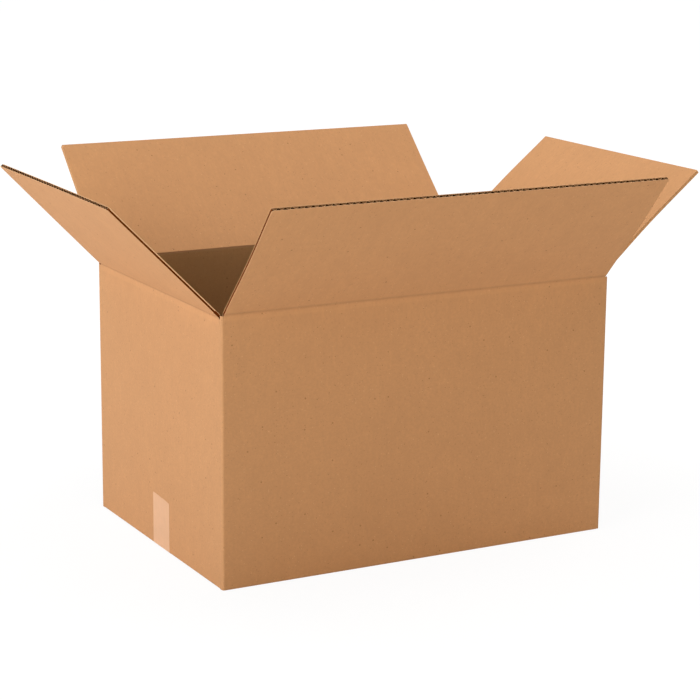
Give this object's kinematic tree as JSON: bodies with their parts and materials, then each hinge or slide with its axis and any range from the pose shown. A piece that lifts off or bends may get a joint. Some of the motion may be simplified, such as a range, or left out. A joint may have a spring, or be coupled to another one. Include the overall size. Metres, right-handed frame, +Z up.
{
  "type": "cardboard shipping box",
  "caption": "Rectangular corrugated cardboard box, taped shut along its bottom seam, with hinged top flaps standing open.",
  "frame": {"origin": "centre of the box's footprint, on the surface that it stands on", "axes": "+X along the box's length towards the right end, +Y from the front long wall to the back, +Z up"},
  "size_m": [0.787, 0.6145, 0.4592],
  "materials": {
    "kraft_board": "matte kraft paper",
    "flap_board": "matte kraft paper, fluted cut edges",
    "packing_tape": "semi-matte tan film"
  },
  "bodies": {
    "case": {"case": "kraft_board", "bottom_tape": "packing_tape"},
    "front_flap": {"front_flap": "flap_board"},
    "back_flap": {"back_flap": "flap_board"},
    "left_flap": {"left_flap": "flap_board"},
    "right_flap": {"right_flap": "flap_board"}
  },
  "joints": [
    {"name": "front_fold", "type": "hinge", "parent": "case", "child": "front_flap", "pos_m": [0, -0.182, 0.32135], "axis": [1, 0, 0], "range_deg": [-131.5, 128.5]},
    {"name": "back_fold", "type": "hinge", "parent": "case", "child": "back_flap", "pos_m": [0, 0.182, 0.32135], "axis": [-1, 0, 0], "range_deg": [-136.5, 123.5]},
    {"name": "left_fold", "type": "hinge", "parent": "case", "child": "left_flap", "pos_m": [-0.258, 0, 0.3172], "axis": [0, -1, 0], "range_deg": [-135, 125]},
    {"name": "right_fold", "type": "hinge", "parent": "case", "child": "right_flap", "pos_m": [0.258, 0, 0.3172], "axis": [0, 1, 0], "range_deg": [-139.5, 120.5]}
  ]
}
